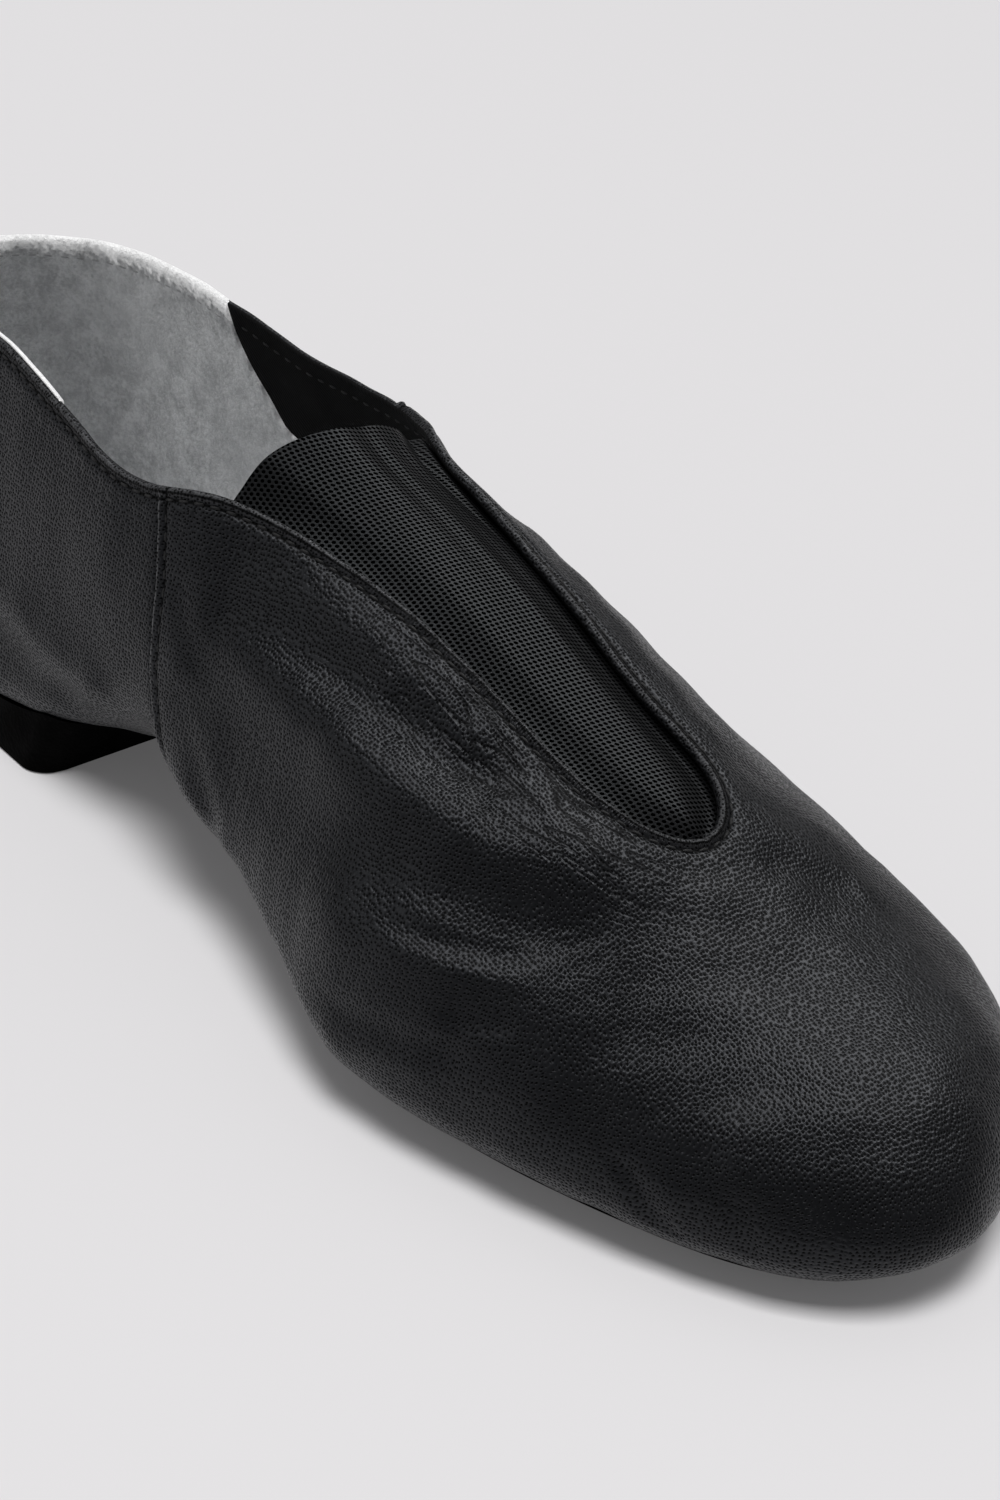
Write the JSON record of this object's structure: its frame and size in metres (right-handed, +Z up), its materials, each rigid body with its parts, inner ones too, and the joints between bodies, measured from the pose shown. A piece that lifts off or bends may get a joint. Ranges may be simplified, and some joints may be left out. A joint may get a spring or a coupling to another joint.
{
  "type": "jazz shoe",
  "caption": "Slip-on leather dance shoe with an elastic gore in its throat, a low rubber heel pad and a separate sole patch under the ball and toes.",
  "frame": {"origin": "middle of the heel pad's flat bottom, on the floor", "axes": "+X from the heel to the toe, +Y to the inner side of the foot, +Z up from the floor"},
  "size_m": [0.2458, 0.0905, 0.0746],
  "materials": {
    "black_leather": "soft pebbled leather with a low sheen",
    "black_elastic_knit": "matt mesh of knitted elastic",
    "grey_suede": "brushed grey suede, matt",
    "black_rubber": "matt black rubber"
  },
  "bodies": {
    "root": {"upper": "black_leather", "elastic_gore": "black_elastic_knit", "insole": "grey_suede", "forefoot_sole": "black_rubber", "heel_pad": "black_rubber"}
  },
  "joints": []
}
